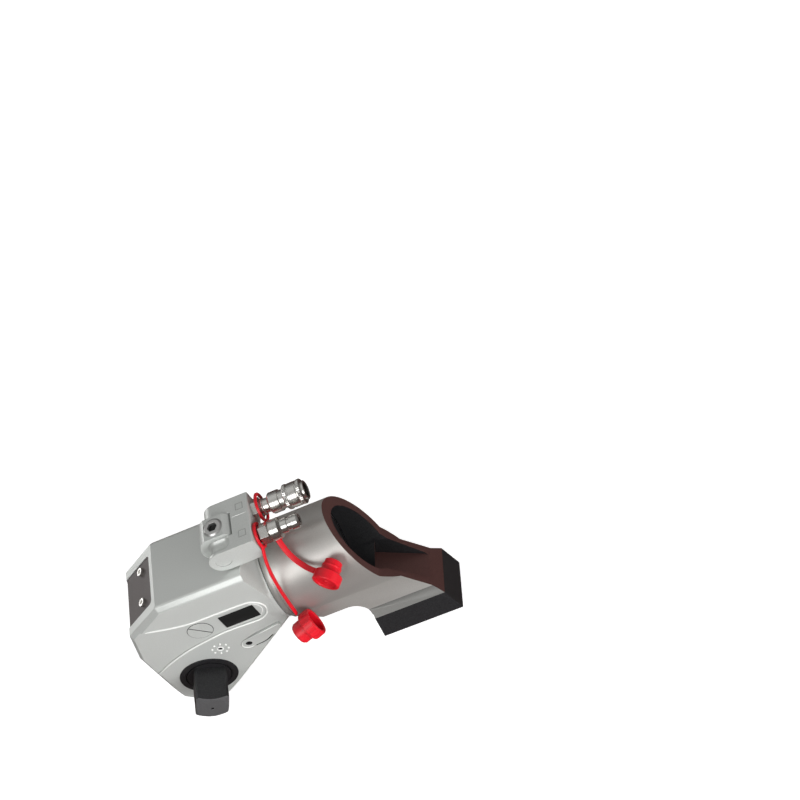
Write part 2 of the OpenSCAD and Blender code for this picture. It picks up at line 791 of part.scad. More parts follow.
// A moulded strap: flat oval rings swept along hand-placed points
function unit(v) = v / norm(v);
function tangent(p, i) = unit(p[min(i + 1, len(p) - 1)] - p[max(i - 1, 0)]);
function strap_ring(p, i, w, t) =
    let (d = tangent(p, i), a = unit(cross(d, [0.2, 0.9, -0.35])), b = cross(a, d))
        [for (k = [0 : 7]) p[i] + a * w / 2 * cos(k * 45) + b * t / 2 * sin(k * 45)];
module strap(p, w, t) {
    n = len(p);
    rings = [for (i = [0 : n - 1]) each strap_ring(p, i, w, t)];
    sides = [for (i = [0 : n - 2], k = [0 : 7])
        [i * 8 + k, i * 8 + (k + 1) % 8, (i + 1) * 8 + (k + 1) % 8, (i + 1) * 8 + k]];
    ends = [[for (k = [7 : -1 : 0]) k], [for (k = [0 : 7]) (n - 1) * 8 + k]];
    polyhedron(rings, concat(sides, ends));
}
// Routes of the two straps, measured from the middle of the clevis's front face. The plug lies against
// the reaction arm, so the drop of its strap is stretched to reach that height.
strap_from = [block_x, 0, pivot_z];
tether_drop = 8;
plug_drop = 51;
plug_height = axis_z + 42;
plug_stretch = (pivot_z - plug_height - tether_drop) / (plug_drop - tether_drop);
plug_route = [
    [14.2, port_y - 8, -8], [13, 2, -16], [10, -8, -23], [10, -20, -30], [16, -32, -37], [27, -42, -44],
    [37, -50, -49], [44, -56, -51]
];
plug_place = [49, -60, -plug_drop];
plug_lean = [70, 0, -32];
cap_route = [
    [2.4, 2 - port_y - 8, -9], [5, -30, -16], [3, -39, -25], [-4, -49, -39], [-11, -58, -56],
    [-13, -63, -80], [-12, -66, -102], [-11, -67, -114]
];
cap_place = [-11, -67, -122];
cap_lean = [20, 25, 0];
strap_w = 4.6;
strap_t = 2.4;
tether_t = 2;
plug_rim_h = 9;
plug_stem_h = 10;
cap_skirt_h = 9;
cap_h = 20;
tether_r = thread_r + 0.2;
module tether_ring(y, x) {
    difference() {
        x_bar(y, pivot_z, x, x + tether_t, tether_r + 3.5);
        x_bar(y, pivot_z, x - 1, x + tether_t + 1, tether_r);
    }
}
function hung(p, stretch) = strap_from + [p[0], p[1], (p[2] + tether_drop) * stretch - tether_drop];
module cap_tether(y, x, route, stretch) {
    tether_ring(y, x);
    strap([for (p = route) hung(p, stretch)], strap_w, strap_t);
}
module dust_plug() {
    color(cap_red) {
        cap_tether(port_y, block_x + nut_len + 4.2, plug_route, plug_stretch);
        translate(hung(plug_place, plug_stretch)) rotate(plug_lean) difference() {
            union() {
                cylinder(h = plug_rim_h, r = cap_r);
                translate([0, 0, -plug_stem_h]) cylinder(h = plug_stem_h + 1, r = cap_r - 3.4);
            }
            translate([0, 0, 2]) cylinder(h = plug_rim_h, r = cap_r - 2);
        }
    }
}
module dust_cap() {
    color(cap_red) {
        cap_tether(-port_y, block_x + 1.4, cap_route, 1);
        translate(hung(cap_place, 1)) rotate(cap_lean) difference() {
            union() {
                translate([0, 0, -cap_skirt_h]) cylinder(h = cap_h, r = cap_r - 1.6);
                translate([0, 0, -3]) cylinder(h = plug_rim_h, r = cap_r);
            }
            translate([0, 0, -cap_skirt_h - 1]) cylinder(h = cap_h - 2, r = cap_r - 3.6);
        }
    }
}

// Reaction arm: drawn upright on the cylinder axis, then turned on its splines
module turned() {
    translate([0, 0, axis_z]) rotate([-arm_turn, 0, 0]) children();
}
foot_x = barrel_end + foot_back;
end_x = foot_x + knee_run;
belly_x = foot_x - 54;
chin_z = 17 - ring_r;
flat_z = 30;
arm_half_w = pad_w / 2 - 7;
arm_bore_r = barrel_r - 3;
pad_z = pad_t - foot_reach;
fillet_r = 24;
flare_h = 10;
groove_x = ring_x + 7;
knee_z = -25;
pocket_x = end_x - 14.5;
pocket_slope = 21.8;
pocket_len = 64.6;
pocket_w = 66;
pocket_tip_w = 50;
pocket_tip_corner = 6.6;
pad_screw_inset = 22;
pad_screw_pitch = 40;
pad_screw_x = [foot_x + pad_screw_inset, foot_x + pad_screw_inset + pad_screw_pitch];
pad_screw_r = 5;
pad_screw_in = 10;
pad_head_r = 8;
pad_head_len = 9;

// The arm's end is steep above, and drawn out below into a beak over the pad
module past_end() {
    knee = [end_x, knee_z];
    tip = [end_x + beak_run, pad_z];
    steep = [tan(end_slope), -1];
    across(-big, big)
        polygon([knee - big * steep, knee, tip, tip + big * steep, [3 * big, -big], [3 * big, big]]);
}
// The bore runs on as a flat-floored hollow down the beak
module beak_pocket() {
    half = pocket_w / 2;
    tip = pocket_tip_w / 2;
    neck = pocket_len - pocket_tip_corner;
    point = tip - pocket_tip_corner;
    translate([pocket_x, 0, -arm_bore_r]) rotate([0, pocket_slope, 0]) linear_extrude(pocket_len) polygon([
        [0, -half], [neck, -tip], [pocket_len, -point], [pocket_len, point], [neck, tip], [0, half]
    ]);
}
module arm_outline() {
    polygon([
        [ring_x, flat_z], [ring_x, chin_z], [belly_x, -ring_r], [foot_x, -ring_r], [foot_x, pad_z],
        [big, pad_z], [big, flat_z]
    ]);
    difference() {
        translate([foot_x - fillet_r, pad_z + 4]) square([fillet_r + eps, -pad_z - ring_r]);
        translate([foot_x - fillet_r, -ring_r - fillet_r]) circle(r = fillet_r);
    }
}
module arm_section() {
    polygon([
        [-arm_half_w, flat_z], [-arm_half_w, pad_z + flare_h], [-pad_w / 2, pad_z], [pad_w / 2, pad_z],
        [arm_half_w, pad_z + flare_h], [arm_half_w, flat_z]
    ]);
}
module reaction_arm() {
    color(satin_plate) difference() {
        turned() difference() {
            union() {
                x_cone(0, 0, ring_x, ring_x + 3, ring_r - 2.5, ring_r);
                x_bar(0, 0, ring_x + 3, big, ring_r);
                intersection() {
                    across(-pad_w / 2, pad_w / 2) arm_outline();
                    along(ring_x, big) arm_section();
                }
            }
            past_end();
            beak_pocket();
            x_ring(0, 0, groove_x, groove_x + 0.8, ring_r + 1, ring_r - 0.5);
            x_bar(0, 0, barrel_end, big, arm_bore_r);
            for (x = pad_screw_x)
                translate([x, 0, pad_z - 1]) cylinder(h = pad_screw_in + 2, r = pad_screw_r);
        }
        spline_bar(0, barrel_end + cap_flange + 1, spline_gap);
    }
}
module reaction_pad() {
    color(black_oxide) turned() difference() {
        across(-pad_w / 2, pad_w / 2) translate([foot_x, -foot_reach]) square([big, pad_t]);
        past_end();
        for (x = pad_screw_x) translate([x, 0, -foot_reach - 1]) {
            cylinder(h = pad_t + 2, r = pad_screw_r);
            cylinder(h = pad_head_len + 2, r = pad_head_r);
        }
    }
}
module pad_screws() {
    color(black_oxide) turned() for (x = pad_screw_x) translate([x, 0, -foot_reach + 1]) difference() {
        union() {
            cylinder(h = pad_head_len, r = pad_head_r);
            cylinder(h = pad_t + pad_screw_in - 1, r = pad_screw_r);
        }
        translate([0, 0, -1]) cylinder(h = 6, r = 4, $fn = 6);
    }
}

housing();
drive_bushing_near();
drive_bushing_far();
front_cover();
cover_screws();
access_plug();
index_screw();
cylinder_barrel();
rod_gland();
rod_seal();
end_cap();
end_cap_seal();
post_bolt();
ratchet_wheel();
square_drive();
drive_retainer();
retainer_screw();
drive_plate_near();
drive_plate_far();
rod_pin();
drive_pawl();
piston();
piston_seal();
piston_rod();
rod_nut();
release_lever();
lever_shaft();
holding_pawl();
swivel_post();
swivel_block();
swivel_pins();
port_nipple_far();
port_nipple_near();
female_coupler();
male_coupler();
dust_plug();
dust_cap();
coupler_sleeve();
reaction_arm();
reaction_pad();
pad_screws();
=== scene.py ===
import json
import math

import bpy
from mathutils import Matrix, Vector

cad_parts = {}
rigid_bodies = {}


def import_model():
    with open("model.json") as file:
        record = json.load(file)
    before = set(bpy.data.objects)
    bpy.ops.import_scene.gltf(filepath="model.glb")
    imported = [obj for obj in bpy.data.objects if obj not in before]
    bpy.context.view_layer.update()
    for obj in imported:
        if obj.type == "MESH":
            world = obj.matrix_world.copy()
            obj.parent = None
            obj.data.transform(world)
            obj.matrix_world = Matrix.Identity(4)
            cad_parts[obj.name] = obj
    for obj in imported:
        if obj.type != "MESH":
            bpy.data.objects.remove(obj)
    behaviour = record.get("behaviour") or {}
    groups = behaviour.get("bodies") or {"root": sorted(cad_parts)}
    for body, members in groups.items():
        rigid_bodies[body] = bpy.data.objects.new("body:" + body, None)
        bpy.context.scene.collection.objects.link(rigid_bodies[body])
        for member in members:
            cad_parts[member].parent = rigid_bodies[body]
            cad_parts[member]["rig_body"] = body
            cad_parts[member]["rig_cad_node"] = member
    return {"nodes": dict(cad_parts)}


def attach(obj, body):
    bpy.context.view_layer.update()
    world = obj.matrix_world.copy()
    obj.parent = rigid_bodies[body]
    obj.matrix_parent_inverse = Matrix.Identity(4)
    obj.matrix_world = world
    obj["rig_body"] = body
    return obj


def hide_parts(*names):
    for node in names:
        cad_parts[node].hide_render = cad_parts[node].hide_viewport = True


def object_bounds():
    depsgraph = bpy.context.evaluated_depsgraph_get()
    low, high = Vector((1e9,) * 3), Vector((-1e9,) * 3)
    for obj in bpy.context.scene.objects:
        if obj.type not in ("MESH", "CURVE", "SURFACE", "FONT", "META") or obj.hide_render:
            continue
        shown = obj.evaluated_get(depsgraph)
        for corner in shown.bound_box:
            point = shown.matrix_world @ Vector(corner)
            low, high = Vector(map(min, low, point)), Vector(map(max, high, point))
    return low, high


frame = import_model()
cad_low, cad_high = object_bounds()

# Studio: the camera looks down on the drive side from beyond the reaction arm, rolled because the
# tool leans in the picture. A white paper floor lies under the nose and the foot before a pale backdrop,
# but the floor is dark to glossy rays, a painted reflection of a dark workshop in bright metal, and
# bright metal mirrors only three of the five soft panels round the tool.
scene = bpy.context.scene
scene.view_settings.view_transform = "Standard"
camera_place = (0.6359, -0.9974, 1.3771)
camera_turn = [math.radians(a) for a in (37.84, 22.013, -10.553)]
bpy.ops.object.camera_add(location=camera_place, rotation=camera_turn)
camera = bpy.context.object
camera.data.sensor_width = 36
camera.data.lens = 66.75
scene.camera = camera

floor_width = 12
floor_gap = 0.0005
floor_glow = 0.6
bpy.ops.mesh.primitive_plane_add(size=floor_width, location=(0, 0, cad_low.z - floor_gap))
floor = bpy.context.object
floor.name = "floor"
white_paper = bpy.data.materials.new("white_paper")
white_paper.use_nodes = True
nodes, links = white_paper.node_tree.nodes, white_paper.node_tree.links
paper = nodes["Principled BSDF"]
paper.inputs["Roughness"].default_value = 0.85
paper.inputs["Emission Color"].default_value = (1, 1, 1, 1)
path = nodes.new("ShaderNodeLightPath")
# Painted reflection: the floor's base colour is near black for glossy rays, so bright metal shows a dark
# room
glossy_reflection_tone = nodes.new("ShaderNodeValToRGB")
glossy_reflection_tone.color_ramp.elements[0].color = (0.9, 0.9, 0.9, 1)
glossy_reflection_tone.color_ramp.elements[1].color = (0.10, 0.065, 0.06, 1)
links.new(path.outputs["Is Glossy Ray"], glossy_reflection_tone.inputs["Fac"])
links.new(glossy_reflection_tone.outputs["Color"], paper.inputs["Base Color"])
glow = nodes.new("ShaderNodeMath")
glow.operation = "MULTIPLY"
glow.inputs[1].default_value = floor_glow
links.new(path.outputs["Is Camera Ray"], glow.inputs[0])
links.new(glow.outputs[0], paper.inputs["Emission Strength"])
floor.data.materials.append(white_paper)

world = bpy.data.worlds.new("studio")
scene.world = world
world.use_nodes = True
nodes, links = world.node_tree.nodes, world.node_tree.links
sky = nodes["Background"]
direction = nodes.new("ShaderNodeTexCoord")
height = nodes.new("ShaderNodeSeparateXYZ")
shades = nodes.new("ShaderNodeValToRGB")
shades.color_ramp.elements[0].color = (0.10, 0.08, 0.075, 1)
shades.color_ramp.elements[1].color = (0.85, 0.85, 0.84, 1)
shades.color_ramp.elements[1].position = 0.9
links.new(direction.outputs["Generated"], height.inputs[0])
links.new(height.outputs["Z"], shades.inputs["Fac"])
links.new(shades.outputs["Color"], sky.inputs["Color"])
sky.inputs["Strength"].default_value = 0.46
pale = nodes.new("ShaderNodeBackground")
pale.inputs["Color"].default_value = (0.93, 0.93, 0.93, 1)
seen = nodes.new("ShaderNodeLightPath")
backdrop = nodes.new("ShaderNodeMixShader")
links.new(seen.outputs["Is Camera Ray"], backdrop.inputs["Fac"])
links.new(sky.outputs["Background"], backdrop.inputs[1])
links.new(pale.outputs["Background"], backdrop.inputs[2])
links.new(backdrop.outputs["Shader"], nodes["World Output"].inputs["Surface"])
tool_middle = Vector((0.1, 0, 0.05))


def lamp(name, place, width, height, watts, mirrored=True):
    """A soft panel aimed at the middle of the tool. A fill panel doesn't show in bright metal."""
    bpy.ops.object.light_add(type="AREA", location=place)
    light = bpy.context.object
    light.name = name
    light.data.shape = "RECTANGLE"
    light.data.size = width
    light.data.size_y = height
    light.data.energy = watts
    light.visible_glossy = mirrored
    light.rotation_mode = "QUATERNION"
    light.rotation_quaternion = (tool_middle - Vector(place)).to_track_quat("-Z", "Y")


lamp("key", (-0.55, -1.35, 1.2), width=1.2, height=1.0, watts=11.5)
lamp("front", (1.5, -1.6, 0.45), width=2.8, height=1.0, watts=66, mirrored=False)
lamp("overhead", (-0.5, 0.5, 1.7), width=1.4, height=1.4, watts=1)
lamp("rim", (-1.5, 1.15, 0.4), width=1.0, height=0.7, watts=6)
lamp("back", (-0.3, 2.0, 0.2), width=2.4, height=0.8, watts=20, mirrored=False)

# Housing: a one-piece alloy casting, milled at its joint faces and sprayed with satin silver paint.
# The mould and the paint leave every edge round, and the band on the drive side is a shallow recess.
frame_nodes = frame["nodes"]
barrel_z = 0.075
bore_r = 0.054
cavity_half_w = 0.045
cavity_end_x = 0.09
shoulder_z = 0.1
long_edge = 0.05
least_slant = 20
most_slant = 75
crease = math.radians(35)


def take_up(piece):
    bpy.ops.object.select_all(action="DESELECT")
    piece.select_set(True)
    bpy.context.view_layer.objects.active = piece


def copied(piece, name):
    """A copy of a piece, with a mesh of its own."""
    twin = piece.copy()
    twin.data = piece.data.copy()
    twin.name = name
    scene.collection.objects.link(twin)
    return twin


def faces_by_edge(piece):
    """The normals of each edge's faces, each with the way that face runs along the edge."""
    corners = piece.data.vertices
    sides = {}
    for face in piece.data.polygons:
        ring = list(face.vertices)
        for first, second in zip(ring, ring[1:] + ring[:1]):
            run = corners[second].co - corners[first].co
            key = (min(first, second), max(first, second))
            sides.setdefault(key, []).append((face.normal.copy(), run))
    return sides


def round_long_edges(piece, radius):
    """Rounds the long upper edges, where two flat faces meet at a slant."""
    sides = faces_by_edge(piece)
    bpy.ops.object.mode_set(mode="EDIT")
    bpy.ops.mesh.select_mode(type="EDGE")
    bpy.ops.mesh.select_all(action="DESELECT")
    bpy.ops.object.mode_set(mode="OBJECT")
    for edge in piece.data.edges:
        pair = sides[edge.key]
        start, end = [piece.data.vertices[v].co for v in edge.vertices]
        if len(pair) != 2 or (end - start).length < long_edge:
            continue
        slant = math.degrees(pair[0][0].angle(pair[1][0]))
        lengthwise = abs((end - start).normalized().x) > 0.98
        edge.select = lengthwise and start.z > shoulder_z and least_slant < slant < most_slant
    bpy.ops.object.mode_set(mode="EDIT")
    bpy.ops.mesh.bevel(offset=radius, segments=6, affect="EDGES", clamp_overlap=True)
    bpy.ops.mesh.select_mode(type="VERT")
    bpy.ops.object.mode_set(mode="OBJECT")


def weigh_edges(piece, angle):
    """Marks the sharp edges for rounding, but not the inner corners of the bore and the cavity."""
    sides = faces_by_edge(piece)
    weights = piece.data.attributes.new("bevel_weight_edge", "FLOAT", "EDGE")
    for edge in piece.data.edges:
        pair = sides[edge.key]
        if len(pair) != 2 or math.degrees(pair[0][0].angle(pair[1][0])) < angle:
            continue
        (normal, _), (other, run) = pair
        outer = other.cross(run).dot(normal) < 0
        start, end = [piece.data.vertices[v].co for v in edge.vertices]
        middle = (start + end) / 2
        in_bore = math.hypot(middle.y, middle.z - barrel_z) < bore_r
        in_cavity = abs(middle.y) < cavity_half_w and middle.x < cavity_end_x
        if outer or not (in_bore or in_cavity):
            weights.data[edge.index].value = 1


def softened(node, name, radius, body, segments=3, angle=28, broad=0, hollow=False):
    """A copy of a CAD node with its edges rounded, standing for that node."""
    piece = copied(frame_nodes[node], name)
    piece.parent = None
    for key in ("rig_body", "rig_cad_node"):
        del piece[key]
    take_up(piece)
    bpy.ops.object.mode_set(mode="EDIT")
    bpy.ops.mesh.select_all(action="SELECT")
    bpy.ops.mesh.remove_doubles(threshold=2e-6)
    bpy.ops.mesh.dissolve_limited(angle_limit=math.radians(1))
    bpy.ops.object.mode_set(mode="OBJECT")
    if broad:
        round_long_edges(piece, broad)
    if hollow:
        weigh_edges(piece, angle)
    rounding = piece.modifiers.new("rounding", "BEVEL")
    rounding.width = radius
    rounding.segments = segments
    rounding.limit_method = "WEIGHT" if hollow else "ANGLE"
    rounding.angle_limit = math.radians(angle)
    rounding.miter_outer = "MITER_ARC"
    bpy.ops.object.modifier_apply(modifier="rounding")
    bpy.ops.object.shade_smooth_by_angle(angle=crease)
    evening = piece.modifiers.new("evening", "WEIGHTED_NORMAL")
    evening.keep_sharp = True
    bpy.ops.object.modifier_apply(modifier="evening")
    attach(piece, body)
    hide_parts(node)
    return piece


def finish_of(name, colour, metallic, roughness, grain, spread=0.10, rub=0.08, relief=0.00003):
    """A surface whose colour, gloss and relief all vary with one fine noise."""
    finish = bpy.data.materials.new(name)
    finish.use_nodes = True
    nodes, links = finish.node_tree.nodes, finish.node_tree.links
    shader = nodes["Principled BSDF"]
    shader.inputs["Metallic"].default_value = metallic
    place = nodes.new("ShaderNodeTexCoord")
    noise = nodes.new("ShaderNodeTexNoise")
    noise.inputs["Scale"].default_value = grain
    noise.inputs["Detail"].default_value = 5
    links.new(place.outputs["Object"], noise.inputs["Vector"])
    tone = nodes.new("ShaderNodeValToRGB")
    tone.color_ramp.elements[0].position = 0.3
    tone.color_ramp.elements[1].position = 0.7
    tone.color_ramp.elements[0].color = [c * (1 - spread) for c in colour] + [1]
    tone.color_ramp.elements[1].color = [min(1, c * (1 + spread)) for c in colour] + [1]
    links.new(noise.outputs["Fac"], tone.inputs["Fac"])
    links.new(tone.outputs["Color"], shader.inputs["Base Color"])
    gloss = nodes.new("ShaderNodeMapRange")
    gloss.inputs["To Min"].default_value = roughness - rub
    gloss.inputs["To Max"].default_value = roughness + rub
    links.new(noise.outputs["Fac"], gloss.inputs["Value"])
    links.new(gloss.outputs["Result"], shader.inputs["Roughness"])
    bump = nodes.new("ShaderNodeBump")
    bump.inputs["Distance"].default_value = relief
    links.new(noise.outputs["Fac"], bump.inputs["Height"])
    links.new(bump.outputs["Normal"], shader.inputs["Normal"])
    return finish


def dress(piece, finish):
    piece.data.materials.clear()
    piece.data.materials.append(finish)


silver_paint = finish_of("silver_paint", (0.60, 0.62, 0.60),
                         metallic=0.45, roughness=0.42, grain=1400, spread=0.07)
housing = softened("housing", "housing_casting", radius=0.0012, body="frame", broad=0.004, hollow=True)
dress(housing, silver_paint)

# Band ridges: the recess for the data plate is edged by one cast ridge that runs round its back end,
# with a thin lip inside the bend. They are part of the casting, and their pale paint is a painted
# highlight.
side_y = -0.050
band_floor_y = -0.0485
band_end_x = 0.097
band_end_z = 0.0863
band_end_r = 0.0192


def drawn_line(name, points):
    """A chain of edges, drawn by extruding one vertex from point to point."""
    bpy.ops.object.select_all(action="DESELECT")
    bpy.ops.mesh.primitive_plane_add(size=0.001, location=points[0])
    line = bpy.context.object
    line.name = name
    bpy.ops.object.mode_set(mode="EDIT")
    bpy.ops.mesh.merge(type="CENTER")
    for start, end in zip(points, points[1:]):
        step = Vector(end) - Vector(start)
        bpy.ops.mesh.extrude_vertices_move(TRANSFORM_OT_translate={"value": step})
    bpy.ops.object.mode_set(mode="OBJECT")
    bpy.ops.object.transform_apply()
    return line


def closed_up(piece):
    """Merges the points that meet and turns the faces outward."""
    take_up(piece)
    bpy.ops.object.mode_set(mode="EDIT")
    bpy.ops.mesh.select_all(action="SELECT")
    bpy.ops.mesh.remove_doubles(threshold=1e-6)
    bpy.ops.mesh.normals_make_consistent(inside=False)
    bpy.ops.object.mode_set(mode="OBJECT")
    bpy.ops.object.shade_smooth_by_angle(angle=crease)


def rounded_rod(name, points, radius, flat=0, tilt=0, end_taper=1):
    """A rod, or a strap where flat is given, swept along a smooth line through the points."""
    drawn_line(name, points)
    bpy.ops.object.convert(target="CURVE")
    rod = bpy.context.object
    bpy.ops.object.mode_set(mode="EDIT")
    bpy.ops.curve.select_all(action="SELECT")
    bpy.ops.curve.spline_type_set(type="BEZIER")
    bpy.ops.curve.handle_type_set(type="AUTOMATIC")
    bpy.ops.object.mode_set(mode="OBJECT")
    line = rod.data.splines[0].bezier_points
    for point in line:
        point.tilt = math.radians(tilt)
    line[0].radius = end_taper
    line[-1].radius = end_taper
    rod.data.bevel_depth = radius
    rod.data.extrude = flat
    rod.data.bevel_resolution = 3
    rod.data.resolution_u = 4
    rod.data.use_fill_caps = True
    bpy.ops.object.convert(target="MESH")
    rod = bpy.context.object
    closed_up(rod)
    return rod


def bend_point(radius, degrees, y):
    """A point of the bend at the band's back end."""
    turn = math.radians(degrees)
    return (band_end_x + radius * math.cos(turn), y, band_end_z + radius * math.sin(turn))


ridge_y = side_y + 0.0002
ridge_r = 0.0012
lip_bend_r = 0.0140
lip_r = 0.0006
run_out = 0.4
ridge_upper = [(-0.0175, 0.1205), (-0.011, 0.1184), (-0.002, 0.1155), (0.012, 0.111), (0.032, 0.107),
               (0.064, 0.1062)]
ridge_lower = [(0.059, 0.0685), (0.032, 0.065), (0.005, 0.0595), (-0.026, 0.048), (-0.0455, 0.0372)]
ridge_points = [(x, ridge_y, z) for x, z in ridge_upper]
ridge_points += [bend_point(band_end_r, a, ridge_y) for a in range(90, -91, -15)]
ridge_points += [(x, ridge_y, z) for x, z in ridge_lower]
ridge = rounded_rod("band_ridge", ridge_points, ridge_r, end_taper=run_out)
lip_points = [bend_point(lip_bend_r, a, band_floor_y) for a in range(72, -73, -12)]
lip = rounded_rod("band_lip", lip_points, lip_r, end_taper=run_out)
# Painted highlight: a paler paint for the raised lines, rims and dots that catch the light
highlight_paint = finish_of("highlight_paint", (0.76, 0.77, 0.75),
                         metallic=0.2, roughness=0.34, grain=1400, spread=0.05)
for cast_line in (ridge, lip):
    dress(cast_line, highlight_paint)
    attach(cast_line, "frame")

# Data plate: a thin anodised plate in the band, stuck down and left bare. Its face is matt black
# with a fine grain, and its edges are nipped round.
plate_black = finish_of("plate_black", (0.006, 0.007, 0.007),
                        metallic=0.0, roughness=0.6, grain=1800, spread=0.3)
plate_thickness = 0.0008
plate_low = Vector((0.0615, band_floor_y - plate_thickness, 0.0735))
plate_high = Vector((0.1045, band_floor_y, 0.0965))
plate_middle = (plate_low + plate_high) / 2
bpy.ops.object.select_all(action="DESELECT")
bpy.ops.mesh.primitive_cube_add(size=1, location=plate_middle, scale=plate_high - plate_low)
data_plate = bpy.context.object
data_plate.name = "data_plate"
bpy.ops.object.transform_apply()
corner = data_plate.modifiers.new("corner", "BEVEL")
corner.width = 0.00025
corner.segments = 2
bpy.ops.object.modifier_apply(modifier="corner")
bpy.ops.object.shade_smooth_by_angle(angle=crease)
dress(data_plate, plate_black)
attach(data_plate, "frame")

# Ratchet works: hardened steel wheel, pawls, drive plates and pin, ground on their working faces.
# They sit in the head's cavity, where the piston rod swings the plates about the drive.
ground_steel = finish_of("ground_steel", (0.42, 0.42, 0.43),
                         metallic=0.95, roughness=0.30, grain=600, spread=0.08)
black_oxide = finish_of("black_oxide", (0.030, 0.030, 0.032),
                        metallic=0.55, roughness=0.42, grain=700, spread=0.3)
for node in ("ratchet_wheel", "drive_plate_near", "drive_plate_far", "rod_pin"):
    dress(frame_nodes[node], ground_steel)
for node in ("drive_pawl", "holding_pawl"):
    dress(frame_nodes[node], black_oxide)

# Square drive: a hardened shaft with a square end, blackened, turning in two steel bushings. Its end
# face is a lighter grey, the square's corners are turned off so that a socket slips on, and a retainer
# holds the far end.
grey_end_oxide = finish_of("grey_end_oxide", (0.095, 0.095, 0.098),
                       metallic=0.3, roughness=0.5, grain=700, spread=0.15)
square_end_y = -0.085
end_face_turn = -0.7
shaft = softened("square_drive", "square_drive_shaft", radius=0.0009, body="drive")
dress(shaft, black_oxide)
shaft.data.materials.append(grey_end_oxide)
for face in shaft.data.polygons:
    if face.normal.y < end_face_turn and face.center.y < square_end_y:
        face.material_index = 1
for node, name, radius, body in (
    ("drive_bushing_near", "drive_bushing_ring", 0.0008, "frame"),
    ("drive_bushing_far", "drive_bushing_ring_far", 0.0008, "frame"),
    ("retainer_screw", "drive_retainer_screw", 0.0005, "drive"),
):
    piece = softened(node, name, radius, body)
    dress(piece, black_oxide)
retainer = softened("drive_retainer", "drive_retainer_disc", radius=0.0007, body="drive")
dress(retainer, ground_steel)

# Cylinder: a honed steel barrel with external splines, closed by a screwed end cap, holding the
# piston with its rod and nut, the bronze rod gland and the moulded seals.
bronze = finish_of("bronze", (0.45, 0.30, 0.12),
                   metallic=0.9, roughness=0.35, grain=500)
seal_rubber = finish_of("seal_rubber", (0.012, 0.012, 0.013),
                        metallic=0.0, roughness=0.6, grain=900)
for node in ("cylinder_barrel", "piston_rod", "rod_nut"):
    dress(frame_nodes[node], ground_steel)
piston = softened("piston", "piston_head", radius=0.0012, body="piston")
dress(piston, ground_steel)
for node in ("rod_seal", "end_cap_seal", "piston_seal"):
    dress(frame_nodes[node], seal_rubber)
dress(frame_nodes["rod_gland"], bronze)
end_cap = softened("end_cap", "cylinder_end_cap", radius=0.0007, body="frame")
dress(end_cap, black_oxide)

# Access plug and index screw: a slotted plug closes the hole over the rod pin, with a black ring in its
# joint as painted shade, and a small screw with a collar and a ring of cast dots locks the detent. The
# plug is painted over.
plug = softened("access_plug", "access_plug_disc", radius=0.0004, body="frame")
dress(plug, silver_paint)


def turned(name, outline, steps=48):
    """A body turned about Z from (radius, height) pairs that start and end on the axis, or close up."""
    body = drawn_line(name, [(radius, 0, height) for radius, height in outline])
    bpy.ops.object.mode_set(mode="EDIT")
    bpy.ops.mesh.select_all(action="SELECT")
    bpy.ops.mesh.spin(steps=steps, angle=math.tau, center=(0, 0, 0), axis=(0, 0, 1))
    bpy.ops.object.mode_set(mode="OBJECT")
    closed_up(body)
    return body


def set_down(piece, place, axis):
    """Moves a piece made about Z so that its Z lies along the axis."""
    take_up(piece)
    piece.rotation_mode = "QUATERNION"
    piece.rotation_quaternion = Vector(axis).to_track_quat("Z", "Y")
    piece.location = place
    bpy.ops.object.transform_apply()


def flat_ring(name, place, axis, inner, outer, height, finish, body):
    """A thin ring with a softened upper edge, standing on the place along the axis."""
    nip = min(height, outer - inner) * 0.3
    ring = turned(name, [(inner, 0), (outer, 0), (outer, height - nip), (outer - nip, height),
                         (inner + nip, height), (inner, height - nip), (inner, 0)])
    set_down(ring, place, axis)
    dress(ring, finish)
    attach(ring, body)


outward = (0, -1, 0)
plug_x = 0.034
plug_z = 0.086
gap_shade_y = band_floor_y + 0.0006
slot_floor_y = -0.0480
slot_size = (0.0284, 0.0012, 0.0015)
slot_turn = math.radians(50)
# Painted shade: a thin black ring in the joint round the plug
flat_ring("access_plug_gap_shade", (plug_x, gap_shade_y, plug_z), outward, inner=0.0142, outer=0.0151,
          height=0.0009, finish=plate_black, body="frame")
# Painted shade: a black floor down in the plug's slot
bpy.ops.object.select_all(action="DESELECT")
bpy.ops.mesh.primitive_cube_add(size=1, location=(plug_x, slot_floor_y, plug_z), scale=slot_size)
slot_floor = bpy.context.object
slot_floor.name = "access_plug_slot_floor"
slot_floor.rotation_euler.y = slot_turn
bpy.ops.object.transform_apply()
nip = slot_floor.modifiers.new("nip", "BEVEL")
nip.width = 0.0002
bpy.ops.object.modifier_apply(modifier="nip")
dress(slot_floor, plate_black)
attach(slot_floor, "frame")
dress(frame_nodes["index_screw"], black_oxide)
# The cast dots are raised, and their pale paint is a painted highlight.
dot_x = 0.0362
dot_z = 0.0412
dot_ring_r = 0.0094
dot_r = 0.0014
dot_height = 0.8 * dot_r
dot_turns = [math.radians(22.5 + 45 * k) for k in range(8)]
dot_line = [(0, dot_height)]
for degrees in range(15, 91, 15):
    turn = math.radians(degrees)
    dot_line.append((dot_r * math.sin(turn), dot_height * math.cos(turn)))
dot_line += [(dot_r, -dot_r), (0, -dot_r)]
first_dot = turned("index_dot_0", dot_line, steps=20)
set_down(first_dot, (0, side_y, 0), outward)
dots = [first_dot]
for k in range(1, len(dot_turns)):
    dots.append(copied(first_dot, "index_dot_%d" % k))
for dot, turn in zip(dots, dot_turns):
    take_up(dot)
    dot.location = (dot_x + dot_ring_r * math.cos(turn), 0, dot_z + dot_ring_r * math.sin(turn))
    bpy.ops.object.transform_apply()
    dress(dot, highlight_paint)
    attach(dot, "frame")
